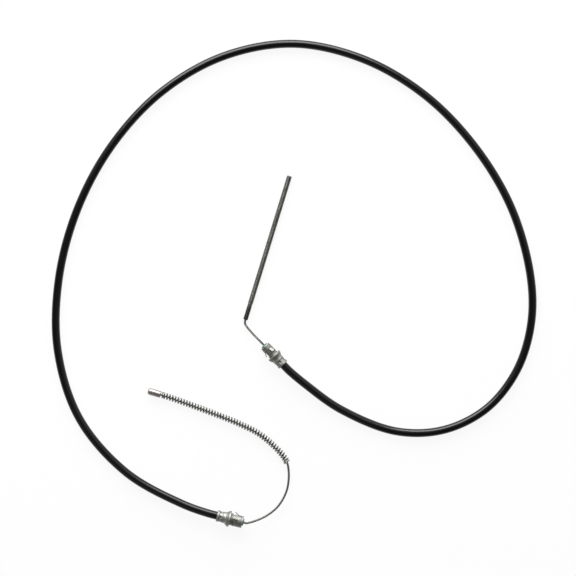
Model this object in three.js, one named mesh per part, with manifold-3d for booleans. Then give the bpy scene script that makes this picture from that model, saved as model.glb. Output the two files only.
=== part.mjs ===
// Parking brake cable: a black jacketed conduit in one open loop, a crimped steel
// fitting with a snap-in clip on each end, a wire rope through it all, an adjusting
// rod on one end of the rope and a return spring with an end stop on the other.
// Millimetres, +Z up. The cable lies on z = 0 and is seen from above, with +Y up the
// picture. The origin is the middle of its outline, on the surface that it lies on.

import * as THREE from 'three';
import { mergeVertices } from 'three/addons/utils/BufferGeometryUtils.js';
import Module from 'manifold-3d';

const wasm = await Module();
wasm.setup();

// Clearances
const fitGap = 0.3;
const slideGap = 0.4;

// Wire rope and the conduit round it, from the inside out
const wireDiameter = 2.4;
const linerWall = 0.6;
const armourWall = 0.8;
const jacketWall = 0.9;

// Both end fittings: walls round the conduit, then lengths from the mouth to the nose
const lipWall = 1.5;
const crimpWall = 0.9;
const bodyWall = 1.3;
const lipLength = 2.4;
const crimpLength = 4.1;
const bodyLength = 3.0;
const coneLength = 3.5;
const flangeThickness = 2.0;
const pilotLength = 2.2;
const clipLength = 9.5;
const rimLength = 1.7;
const edgeBevel = 0.4;
const noseBevel = 0.7;

// Staking dents round the crimp
const dentCount = 6;
const dentDiameter = 2.6;
const dentDepth = 0.35;

// Snap-in clip on each nose
const clipThickness = 0.6;
const clipRingLength = 3.8;
const prongCount = 3;
const prongWidthAngle = 40;
const tabWidthAngle = 44;
const prongStandOff = 3.8;

// Nylon guide bush in each nose
const bushWall = 1.6;
const bushPocketLength = 6.0;
const bushHeadLength = 1.0;
const bushHeadLedge = 0.6;

// Adjusting rod
const rodDiameter = 5.6;
const rodLength = 165.5;
const rodChamfer = 0.5;
const swageDiameter = 5.1;
const swageLength = 15.0;
const swageRound = 1.1;
const wireInRod = 14.0;

// Return spring
const springDiameter = 7.5;
const springWireDiameter = 1.3;
const springLength = 162.0;
const springOpenCoils = 47;
const springClosedCoils = 1.5;

// End stop
const stopDiameter = 7.3;
const stopLength = 14.5;
const stopRound = 2.3;
const stopChamfer = 0.4;
const wireInStop = 12.0;

// The two sides: where each fitting lies, its flange, its nose and its prongs
const rodSide = {
  mouth: [-12.1, -89.2],
  heading: 134.5,
  flangeDiameter: 16.0,
  noseDiameter: 11.2,
  prongReach: 7.7,
  prongTurn: 35,
};
const springSide = {
  mouth: [-84.8, -254.8],
  heading: -14.5,
  flangeDiameter: 17.6,
  noseDiameter: 13.2,
  prongReach: 9.2,
  prongTurn: 22,
};

// Straight lengths of the rope and the conduit where they enter a fitting, rod or stop
const straightRun = 2.0;
const rodSideNoseRun = 8.0;
const springSideNoseRun = 4.0;
const mouthRun = 9.0;
const rodMouthRun = 1.0;
const stopMouthRun = 8.0;
const rodBendRun = 12.0;

// Where the rod and the end stop lie
const rodPlace = { mouth: [-53.8, -39.8], heading: 72.9 };
const stopPlace = { mouth: [-147.0, -122.2], heading: 163.5 };

// Facets
const ropeSides = 8;
const tubeSides = 10;
const roundSides = 20;
const bushSides = 16;
const dentSides = 6;
const coilSteps = 10;
const coilSides = 4;
const conduitSteps = 54;
const roundSteps = 3;

// Radii that follow from the sizes above
const wireRadius = wireDiameter / 2;
const linerInner = wireRadius + slideGap;
const linerOuter = linerInner + linerWall;
const armourInner = linerOuter + fitGap;
const armourOuter = armourInner + armourWall;
const jacketInner = armourOuter + fitGap;
const jacketOuter = jacketInner + jacketWall;
const conduitBore = jacketOuter + fitGap;
const bushInner = wireRadius + slideGap;
const bushOuter = bushInner + bushWall;
const rodRadius = rodDiameter / 2;
const springRadius = springDiameter / 2;
const stopRadius = stopDiameter / 2;

// Distances from a fitting's mouth towards its nose
const crimpEnd = lipLength + crimpLength;
const bodyEnd = crimpEnd + bodyLength;
const flangeBack = bodyEnd + coneLength;
const flangeFace = flangeBack + flangeThickness;
const pilotEnd = flangeFace + pilotLength;
const clipStart = pilotEnd + fitGap;
const clipEnd = clipStart + clipLength;
const clipRingStart = clipEnd - clipRingLength;
const rimStart = clipEnd + fitGap;
const fittingLength = rimStart + rimLength;
const pocketBottom = fittingLength - bushPocketLength;

// Finishes
const finish = (name, color, roughness, metalness) =>
  new THREE.MeshStandardMaterial({ name, color, roughness, metalness });
const blackJacket = finish('black_jacket', 0x0b0b0c, 0.35, 0.0);
const armourSteel = finish('armour_steel', 0x868a8c, 0.45, 1.0);
const naturalLiner = finish('natural_liner', 0xe6e3da, 0.5, 0.0);
const ropeSteel = finish('rope_steel', 0x8b8c87, 0.45, 1.0);
const zincPlate = finish('zinc_plate', 0xb6b8b1, 0.35, 1.0);
const clipSteel = finish('clip_steel', 0xa4a69f, 0.35, 1.0);
const greenNylon = finish('green_nylon', 0x3f8f70, 0.5, 0.0);
const springSteel = finish('spring_steel', 0xb0b2ac, 0.35, 1.0);
const rodSteel = finish('rod_steel', 0x6b6963, 0.5, 1.0);
const stopSteel = finish('stop_steel', 0xc9c3bf, 0.25, 1.0);

// A point on a piece's straight axis, as [x, y]
function alongAxis(place, distance) {
  const angle = THREE.MathUtils.degToRad(place.heading);
  return [
    place.mouth[0] + distance * Math.cos(angle),
    place.mouth[1] + distance * Math.sin(angle),
  ];
}

// Points of the rope, each [x, y, height], from the end in the rod to the end in the stop.
// A share is how far a point has climbed from what lies flat to the fitting's axis.
const climb = (low, side, share) => low + share * (side.flangeDiameter / 2 - low);

const rodSideRope = [
  [...alongAxis(rodPlace, wireInRod), 0],
  [...alongAxis(rodPlace, 0), 0],
  [...alongAxis(rodPlace, -rodMouthRun), 0],
  [-54.2, -43.7, 0.03],
  [-53.0, -46.3, 0.12],
  [-46.3, -54.4, 0.52],
  [...alongAxis(rodSide, fittingLength + rodSideNoseRun), 1],
  [...alongAxis(rodSide, fittingLength + straightRun), 1],
].map(([x, y, share]) => [x, y, climb(rodRadius, rodSide, share)]);

const rodSideConduit = [
  [...alongAxis(rodSide, -straightRun), 1],
  [...alongAxis(rodSide, -mouthRun), 1],
  [12.0, -110.5, 0.72],
  [51.0, -138.3, 0.2],
  [111.8, -162.4, 0.02],
].map(([x, y, share]) => [x, y, climb(jacketOuter, rodSide, share)]);

const lyingConduit = [
  [164.5, -160.9],
  [211.5, -137.5],
  [244.3, -96.4],
  [260.2, -46.2],
  [260.1, 6.6],
  [239.1, 82.6],
  [198.6, 150.6],
  [143.6, 207.4],
  [75.4, 247.1],
  [-1.7, 263.8],
  [-79.1, 249.6],
  [-147.3, 209.8],
  [-200.9, 151.6],
  [-238.4, 82.1],
  [-258.9, 5.6],
  [-260.2, -73.3],
].map(([x, y]) => [x, y, jacketOuter]);

const springSideConduit = [
  [-236.3, -148.5, 0.01],
  [-184.6, -207.9, 0.12],
  [-123.2, -242.0, 0.72],
  [...alongAxis(springSide, -mouthRun), 1],
  [...alongAxis(springSide, -straightRun), 1],
].map(([x, y, share]) => [x, y, climb(jacketOuter, springSide, share)]);

const springSideRope = [
  [...alongAxis(springSide, fittingLength + straightRun), 1],
  [...alongAxis(springSide, fittingLength + springSideNoseRun), 1],
  [-43.5, -260.8, 0.95],
  [-30.5, -255.0, 0.72],
  [-17.6, -244.5, 0.42],
  [-8.1, -226.9, 0.14],
  [-6.2, -206.0, 0.02],
  [-9.6, -193.4, 0],
  [-34.6, -168.1, 0],
  [-57.8, -155.4, 0],
  [-94.5, -140.7, 0],
  [...alongAxis(stopPlace, -stopMouthRun), 0],
  [...alongAxis(stopPlace, 0), 0],
  [...alongAxis(stopPlace, wireInStop), 0],
].map(([x, y, share]) => [x, y, climb(springRadius, springSide, share)]);

const routeLists = [rodSideRope, rodSideConduit, lyingConduit, springSideConduit, springSideRope];
const routePoints = routeLists.flat().map((p) => new THREE.Vector3(...p));

// The rope's centreline, read by distance along it
class Route {
  constructor(points) {
    const divisionsPerSpan = 100;
    this.curve = new THREE.CatmullRomCurve3(points, false, 'centripetal');
    this.curve.arcLengthDivisions = (points.length - 1) * divisionsPerSpan;
    this.lengths = this.curve.getLengths();
    this.divisionsPerSpan = divisionsPerSpan;
    this.length = this.curve.getLength();
  }

  arcOfPoint(index) {
    return this.lengths[index * this.divisionsPerSpan];
  }

  pointAt(arc) {
    return this.curve.getPointAt(arc / this.length);
  }

  tangentAt(arc) {
    return this.curve.getTangentAt(arc / this.length);
  }
}

const route = new Route(routePoints);

// Distances along the rope at which the pieces start and end
const rodMouthArc = wireInRod;
const rodSideMouthArc = route.arcOfPoint(rodSideRope.length - 1) + fittingLength + straightRun;
const springSideFirstPoint = routePoints.length - springSideRope.length;
const springSideMouthArc = route.arcOfPoint(springSideFirstPoint) - fittingLength - straightRun;
const stopMouthArc = route.length - wireInStop;
const springEndArc = stopMouthArc - fitGap - springWireDiameter / 2;
const springStartArc = springEndArc - springLength + springWireDiameter;
const jacketStartArc = rodSideMouthArc - flangeBack + fitGap;
const jacketEndArc = springSideMouthArc + flangeBack - fitGap;
const linerStartArc = rodSideMouthArc - pocketBottom;
const linerEndArc = springSideMouthArc + pocketBottom;

// Evenly spaced distances from one place to another, without the last
function spaced(from, to, count) {
  return Array.from({ length: count }, (_, i) => from + ((to - from) * i) / count);
}

const conduitStations = [
  jacketStartArc,
  ...spaced(rodSideMouthArc + straightRun, springSideMouthArc - straightRun, conduitSteps),
  springSideMouthArc - straightRun,
  jacketEndArc,
];
const linerStations = [linerStartArc, ...conduitStations, linerEndArc];
const rodBendEndArc = rodMouthArc + rodBendRun;
const ropeStations = [
  0,
  ...spaced(rodMouthArc, rodBendEndArc, 6),
  ...spaced(rodBendEndArc, linerStartArc, 3),
  ...linerStations,
  ...spaced(springSideMouthArc + fittingLength + straightRun, springStartArc, 10),
  ...spaced(springStartArc, stopMouthArc, 10),
  stopMouthArc,
  route.length,
];

// A path through the given distances of the route, one step for each
class StationPath extends THREE.Curve {
  constructor(stations) {
    super();
    this.stations = stations;
  }

  arcAt(t) {
    const place = t * (this.stations.length - 1);
    const before = Math.min(Math.floor(place), this.stations.length - 2);
    return THREE.MathUtils.lerp(this.stations[before], this.stations[before + 1], place - before);
  }

  getPointAt(t) {
    return route.pointAt(this.arcAt(t));
  }

  getTangentAt(t) {
    return route.tangentAt(this.arcAt(t));
  }
}

// The middle of the spring's wire, wound round the rope, closed coils at both ends
class SpringPath extends THREE.Curve {
  constructor() {
    super();
    this.turns = springOpenCoils + 2 * springClosedCoils;
    this.closedPitch = springWireDiameter + fitGap;
    const closedLength = 2 * springClosedCoils * this.closedPitch;
    this.openPitch = (springEndArc - springStartArc - closedLength) / springOpenCoils;
    this.meanRadius = springRadius - springWireDiameter / 2;
  }

  advance(turn) {
    const open = THREE.MathUtils.clamp(turn - springClosedCoils, 0, springOpenCoils);
    return open * this.openPitch + (turn - open) * this.closedPitch;
  }

  getPointAt(t) {
    const turn = t * this.turns;
    const arc = springStartArc + this.advance(turn);
    const ahead = route.tangentAt(arc);
    const across = new THREE.Vector3(0, 0, 1).cross(ahead).normalize();
    const over = new THREE.Vector3().crossVectors(ahead, across);
    const angle = 2 * Math.PI * turn;
    return route
      .pointAt(arc)
      .addScaledVector(over, this.meanRadius * Math.cos(angle))
      .addScaledVector(across, this.meanRadius * Math.sin(angle));
  }

  getTangentAt(t) {
    const reach = 0.1 / (this.turns * coilSteps);
    const before = this.getPointAt(Math.max(t - reach, 0));
    const after = this.getPointAt(Math.min(t + reach, 1));
    return after.sub(before).normalize();
  }
}

// Closed outline of a regular polygon with a corner on its first axis
function polygon(radius, sides) {
  return Array.from({ length: sides }, (_, i) => {
    const angle = (2 * Math.PI * i) / sides;
    return new THREE.Vector2(radius * Math.cos(angle), radius * Math.sin(angle));
  });
}

// A round or tubular section swept along a path
function sweep(path, steps, outer, inner, sides) {
  const section = new THREE.Shape(polygon(outer, sides));
  if (inner > 0) {
    section.holes.push(new THREE.Path(polygon(inner, sides)));
  }
  return new THREE.ExtrudeGeometry(section, { extrudePath: path, steps, bevelEnabled: false });
}

function sweepStations(stations, outer, inner, sides) {
  return sweep(new StationPath(stations), stations.length - 1, outer, inner, sides);
}

// A closed profile of [radius, distance] pairs turned round the +Z axis
function turned(profile, sides) {
  const loop = [...profile, profile[0]].map(([r, z]) => new THREE.Vector2(r, z));
  return new THREE.LatheGeometry(loop, sides).rotateX(Math.PI / 2);
}

// A quarter round from straight along the side to straight across the end
function quarterRound(radius, distance, size) {
  return Array.from({ length: roundSteps + 1 }, (_, i) => {
    const angle = (Math.PI / 2) * (i / roundSteps);
    return [radius - size * (1 - Math.cos(angle)), distance - size * (1 - Math.sin(angle))];
  });
}

function weld(geometry) {
  const bare = geometry.clone();
  bare.deleteAttribute('normal');
  bare.deleteAttribute('uv');
  return mergeVertices(bare);
}

function toManifold(geometry) {
  const shared = weld(geometry);
  const mesh = new wasm.Mesh({
    numProp: 3,
    vertProperties: new Float32Array(shared.attributes.position.array),
    triVerts: new Uint32Array(shared.index.array),
  });
  return new wasm.Manifold(mesh);
}

function fromManifold(body) {
  const mesh = body.getMesh();
  const geometry = new THREE.BufferGeometry();
  geometry.setAttribute('position', new THREE.BufferAttribute(mesh.vertProperties, 3));
  geometry.setIndex(new THREE.BufferAttribute(mesh.triVerts, 1));
  return geometry;
}

// A wedge of a disc from the axis outwards, between two distances, round one direction
function wedge(middle, width, from, to, reach) {
  const half = THREE.MathUtils.degToRad(width / 2);
  const turn = THREE.MathUtils.degToRad(middle);
  const corner = (angle) => new THREE.Vector2(reach * Math.cos(angle), reach * Math.sin(angle));
  const outline = new THREE.Shape([
    new THREE.Vector2(0, 0),
    corner(turn - half),
    corner(turn),
    corner(turn + half),
  ]);
  const depth = to - from;
  return new THREE.ExtrudeGeometry(outline, { depth, bevelEnabled: false }).translate(0, 0, from);
}

// Radii of one side's nose, from the clip's outside to the core that it sits on
function noseRadii(side) {
  const pilot = side.noseDiameter / 2;
  const clipInner = pilot - clipThickness;
  return { pilot, clipInner, core: clipInner - fitGap };
}

// Steel ferrule: lip, crimp with staking dents, body, cone, flange, pilot, core and rim
function ferrule(side) {
  const { pilot, core } = noseRadii(side);
  const lip = conduitBore + lipWall;
  const neck = conduitBore + crimpWall;
  const body = conduitBore + bodyWall;
  const flange = side.flangeDiameter / 2;
  const linerBore = linerOuter + fitGap;
  const pocket = bushOuter + fitGap;
  const shape = turned(
    [
      [conduitBore, edgeBevel],
      [conduitBore + edgeBevel, 0],
      [lip - edgeBevel, 0],
      [lip, edgeBevel],
      [lip, lipLength - edgeBevel],
      [neck, lipLength + edgeBevel],
      [neck, crimpEnd - edgeBevel],
      [body, crimpEnd],
      [body, bodyEnd],
      [flange, flangeBack],
      [flange, flangeFace],
      [pilot, flangeFace],
      [pilot, pilotEnd],
      [core, pilotEnd],
      [core, rimStart],
      [pilot, rimStart],
      [pilot, fittingLength - noseBevel],
      [pilot - noseBevel, fittingLength],
      [pocket, fittingLength],
      [pocket, pocketBottom],
      [linerBore, pocketBottom],
      [linerBore, flangeBack],
      [conduitBore, flangeBack],
    ],
    roundSides,
  );
  const dentFloor = neck - dentDepth;
  const dentLength = lip - dentFloor;
  const punch = new THREE.CylinderGeometry(dentDiameter / 2, dentDiameter / 2, dentLength, dentSides);
  punch.rotateZ(Math.PI / 2).translate(dentFloor + dentLength / 2, 0, (lipLength + crimpEnd) / 2);
  let solid = toManifold(shape);
  for (let i = 0; i < dentCount; i += 1) {
    const placed = punch.clone().rotateZ((2 * Math.PI * i) / dentCount);
    solid = solid.subtract(toManifold(placed));
  }
  return fromManifold(solid);
}

// Spring steel clip: a ring at the nose end, three splayed prongs and three flat tabs
function snapClip(side) {
  const { pilot, clipInner } = noseRadii(side);
  const sleeve = (from, to) => [
    [clipInner, from],
    [pilot, from],
    [pilot, to],
    [clipInner, to],
  ];
  const prongTip = flangeFace + prongStandOff;
  const prongOuter = side.prongReach;
  const skirt = [
    [prongOuter - clipThickness, prongTip],
    [prongOuter, prongTip],
    [pilot, clipRingStart],
    [pilot, clipEnd],
    [clipInner, clipEnd],
    [clipInner, clipRingStart],
  ];
  const reach = 2 * prongOuter;
  const skirtSolid = toManifold(turned(skirt, roundSides));
  const tubeSolid = toManifold(turned(sleeve(clipStart, clipEnd), roundSides));
  let clip = toManifold(turned(sleeve(clipRingStart, clipEnd), roundSides));
  for (let i = 0; i < prongCount; i += 1) {
    const middle = side.prongTurn + (360 * i) / prongCount;
    const between = middle + 180 / prongCount;
    const prongWedge = wedge(middle, prongWidthAngle, prongTip - 1, clipEnd, reach);
    const tabWedge = wedge(between, tabWidthAngle, clipStart - 1, clipEnd, reach);
    clip = clip.add(skirtSolid.intersect(toManifold(prongWedge)));
    clip = clip.add(tubeSolid.intersect(toManifold(tabWedge)));
  }
  return fromManifold(clip);
}

// Nylon bush: a sleeve in the nose's pocket with a small head outside it
function guideBush() {
  const headStart = fittingLength + fitGap;
  const head = bushOuter + bushHeadLedge;
  return turned(
    [
      [bushInner, pocketBottom + fitGap],
      [bushOuter, pocketBottom + fitGap],
      [bushOuter, headStart],
      [head, headStart],
      [head, headStart + bushHeadLength - edgeBevel],
      [head - edgeBevel, headStart + bushHeadLength],
      [bushInner, headStart + bushHeadLength],
    ],
    bushSides,
  );
}

// Rod with a blind socket swaged onto the rope, a round tip and a chamfered far end
function adjustingRod() {
  const socket = wireRadius + fitGap;
  const socketDepth = wireInRod + fitGap;
  const swage = swageDiameter / 2;
  const tip = quarterRound(swage, 0, swageRound).map(([r, z]) => [r, -z]);
  return turned(
    [
      [socket, 0],
      ...tip.reverse(),
      [swage, swageLength],
      [rodRadius, swageLength + rodRadius - swage],
      [rodRadius, rodLength - rodChamfer],
      [rodRadius - rodChamfer, rodLength],
      [0, rodLength],
      [0, socketDepth],
      [socket, socketDepth],
    ],
    roundSides,
  );
}

// Cylindrical stop with a blind socket for the rope and a round outer end
function endStop() {
  const socket = wireRadius + fitGap;
  const socketDepth = wireInStop + fitGap;
  return turned(
    [
      [socket, 0],
      [stopRadius - stopChamfer, 0],
      [stopRadius, stopChamfer],
      ...quarterRound(stopRadius, stopLength, stopRound),
      [0, stopLength],
      [0, socketDepth],
      [socket, socketDepth],
    ],
    roundSides,
  );
}

// A group whose +Z runs along the place's heading and whose +X points up
function placed(place, height) {
  const angle = THREE.MathUtils.degToRad(place.heading);
  const ahead = new THREE.Vector3(Math.cos(angle), Math.sin(angle), 0);
  const up = new THREE.Vector3(0, 0, 1);
  const across = new THREE.Vector3().crossVectors(ahead, up);
  const group = new THREE.Group();
  group.setRotationFromMatrix(new THREE.Matrix4().makeBasis(up, across, ahead));
  group.position.set(place.mouth[0], place.mouth[1], height);
  return group;
}

function piece(name, geometry, material) {
  const faceted = weld(geometry).toNonIndexed();
  faceted.computeVertexNormals();
  const mesh = new THREE.Mesh(faceted, material);
  mesh.name = name;
  return mesh;
}

function fitting(prefix, side) {
  const group = placed(side, side.flangeDiameter / 2);
  group.add(piece(`${prefix}_ferrule`, ferrule(side), zincPlate));
  group.add(piece(`${prefix}_snap_clip`, snapClip(side), clipSteel));
  group.add(piece(`${prefix}_guide_bush`, guideBush(), greenNylon));
  return group;
}

const conduitJacket = sweepStations(conduitStations, jacketOuter, jacketInner, tubeSides);
const conduitArmour = sweepStations(conduitStations, armourOuter, armourInner, tubeSides);
const conduitLiner = sweepStations(linerStations, linerOuter, linerInner, tubeSides);
const innerRope = sweepStations(ropeStations, wireRadius, 0, ropeSides);
const springPath = new SpringPath();
const springSteps = Math.round(springPath.turns * coilSteps);
const springCoil = sweep(springPath, springSteps, springWireDiameter / 2, 0, coilSides);

const rodGroup = placed(rodPlace, rodRadius);
rodGroup.add(piece('adjusting_rod', adjustingRod(), rodSteel));
const stopGroup = placed(stopPlace, springRadius);
stopGroup.add(piece('end_stop', endStop(), stopSteel));

const cable = new THREE.Group();
cable.add(piece('conduit_jacket', conduitJacket, blackJacket));
cable.add(piece('conduit_armour', conduitArmour, armourSteel));
cable.add(piece('conduit_liner', conduitLiner, naturalLiner));
cable.add(piece('wire_rope', innerRope, ropeSteel));
cable.add(fitting('rod_side', rodSide));
cable.add(fitting('spring_side', springSide));
cable.add(piece('return_spring', springCoil, springSteel));
cable.add(rodGroup);
cable.add(stopGroup);

export default cable;
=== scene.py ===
"""A parking brake cable lying on a white table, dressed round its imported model.

The cable is one long rope in a jacketed conduit. Each part of it is a class: the conduit,
the wire rope, the two end fittings, the adjusting rod and the return spring with its stop.
All sizes are in metres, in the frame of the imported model: +Z is up, +Y is up the picture.
"""

from __future__ import annotations

import logging
import math
from dataclasses import dataclass, field
from enum import Enum

import bpy
import numpy as np
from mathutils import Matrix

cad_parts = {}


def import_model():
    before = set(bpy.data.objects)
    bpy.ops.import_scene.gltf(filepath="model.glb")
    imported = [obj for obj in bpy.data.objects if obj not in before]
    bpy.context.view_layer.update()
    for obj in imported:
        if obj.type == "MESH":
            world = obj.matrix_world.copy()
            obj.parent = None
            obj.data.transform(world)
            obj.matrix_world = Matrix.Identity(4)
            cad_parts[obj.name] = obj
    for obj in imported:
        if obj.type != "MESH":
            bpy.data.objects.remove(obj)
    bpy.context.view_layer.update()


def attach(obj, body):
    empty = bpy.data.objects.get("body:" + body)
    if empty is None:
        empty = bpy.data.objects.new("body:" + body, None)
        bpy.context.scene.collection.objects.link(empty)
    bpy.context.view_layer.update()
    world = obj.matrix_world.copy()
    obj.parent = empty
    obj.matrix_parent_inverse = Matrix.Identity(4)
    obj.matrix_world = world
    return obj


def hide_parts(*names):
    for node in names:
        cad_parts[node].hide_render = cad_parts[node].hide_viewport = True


LOG = logging.getLogger("parking_brake_cable")
BODY = "root"
LAY = "lay"
SHADE_AND_DIRT = "shade_and_dirt_mask"

Row = tuple[float, float, float]


class Marks(Enum):
    """Which way the fine marks of a surface run: the stretch of its grain in x, y and z."""

    ALONG = (1.0, 1.0, 0.04)
    ROUND = (0.05, 0.05, 1.0)
    EVEN = (1.0, 1.0, 1.0)


# Straight pieces and the route of the rope


@dataclass(frozen=True)
class Place:
    """Where a straight piece lies: the middle of its mouth, its heading and its axis height."""

    mouth: tuple[float, float]
    heading: float
    height: float

    def along(self, distance: float) -> tuple[float, float]:
        """Find a point of the axis, seen from above.

        Args:
            distance: How far the point is from the mouth, towards the heading.

        Returns:
            Its x and y.
        """
        angle = math.radians(self.heading)
        return (
            self.mouth[0] + distance * math.cos(angle),
            self.mouth[1] + distance * math.sin(angle),
        )

    def settle(self, points: np.ndarray) -> np.ndarray:
        """Move points from the piece's own frame to where it lies.

        Args:
            points: Points whose x is up, whose z runs along the heading from the mouth.

        Returns:
            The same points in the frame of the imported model.
        """
        angle = math.radians(self.heading)
        ahead = np.array([math.cos(angle), math.sin(angle), 0.0])
        up = np.array([0.0, 0.0, 1.0])
        basis = np.stack([up, np.cross(ahead, up), ahead])
        return points @ basis + np.array([*self.mouth, self.height])


def unit(vectors: np.ndarray) -> np.ndarray:
    """Return the same directions as vectors of length one."""
    return vectors / np.linalg.norm(vectors, axis=1)[:, None]


class CableRoute:
    """The rope's centreline: one smooth curve through its points, read by distance."""

    DIVISIONS = 100

    def __init__(self, points: np.ndarray) -> None:
        """Fit the curve.

        Args:
            points: The points that it passes through, in order.
        """
        ends = [2 * points[:1] - points[1:2], points, 2 * points[-1:] - points[-2:-1]]
        ghosted = np.concatenate(ends)
        gaps = np.sqrt(np.linalg.norm(np.diff(ghosted, axis=0), axis=1))[:, None]
        before, span, after = gaps[:-2], gaps[1:-1], gaps[2:]
        p0, p1, p2, p3 = (ghosted[i : i + len(points) - 1] for i in range(4))
        leave = ((p1 - p0) / before - (p2 - p0) / (before + span) + (p2 - p1) / span) * span
        arrive = ((p2 - p1) / span - (p3 - p1) / (span + after) + (p3 - p2) / after) * span
        cubic = 2 * p1 - 2 * p2 + leave + arrive
        square = 3 * (p2 - p1) - 2 * leave - arrive
        self._terms = np.stack([p1, leave, square, cubic])
        self._places = np.arange((len(points) - 1) * self.DIVISIONS + 1) / self.DIVISIONS
        steps = np.linalg.norm(np.diff(self._evaluate(self._places), axis=0), axis=1)
        self._arcs = np.concatenate([[0.0], np.cumsum(steps)])
        self.length = float(self._arcs[-1])

    def _evaluate(self, places: np.ndarray, slope: bool = False) -> np.ndarray:
        """Read the curve or its slope.

        Args:
            places: Where to read it, counted in spans.
            slope: Whether to read the slope.

        Returns:
            The points, or the slopes.
        """
        spans = np.minimum(places.astype(int), self._terms.shape[1] - 1)
        t = (places - spans)[:, None]
        c0, c1, c2, c3 = self._terms[:, spans]
        if slope:
            return c1 + 2 * c2 * t + 3 * c3 * t**2
        return c0 + c1 * t + c2 * t**2 + c3 * t**3

    def arc_of_point(self, index: int) -> float:
        """Return the distance along the rope of one of the points that it passes through."""
        return float(self._arcs[index * self.DIVISIONS])

    def points(self, arcs: np.ndarray) -> np.ndarray:
        """Return the points at the given distances along the rope."""
        return self._evaluate(np.interp(arcs, self._arcs, self._places))

    def frames(self, arcs: np.ndarray) -> tuple[np.ndarray, np.ndarray, np.ndarray]:
        """Find the directions of the route.

        Args:
            arcs: Distances along the rope.

        Returns:
            Unit vectors ahead, across (to the left) and over (upwards) at each distance.
        """
        slopes = self._evaluate(np.interp(arcs, self._arcs, self._places), slope=True)
        ahead = unit(slopes)
        across = unit(np.cross(np.array([0.0, 0.0, 1.0]), ahead))
        return ahead, across, np.cross(ahead, across)


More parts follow.
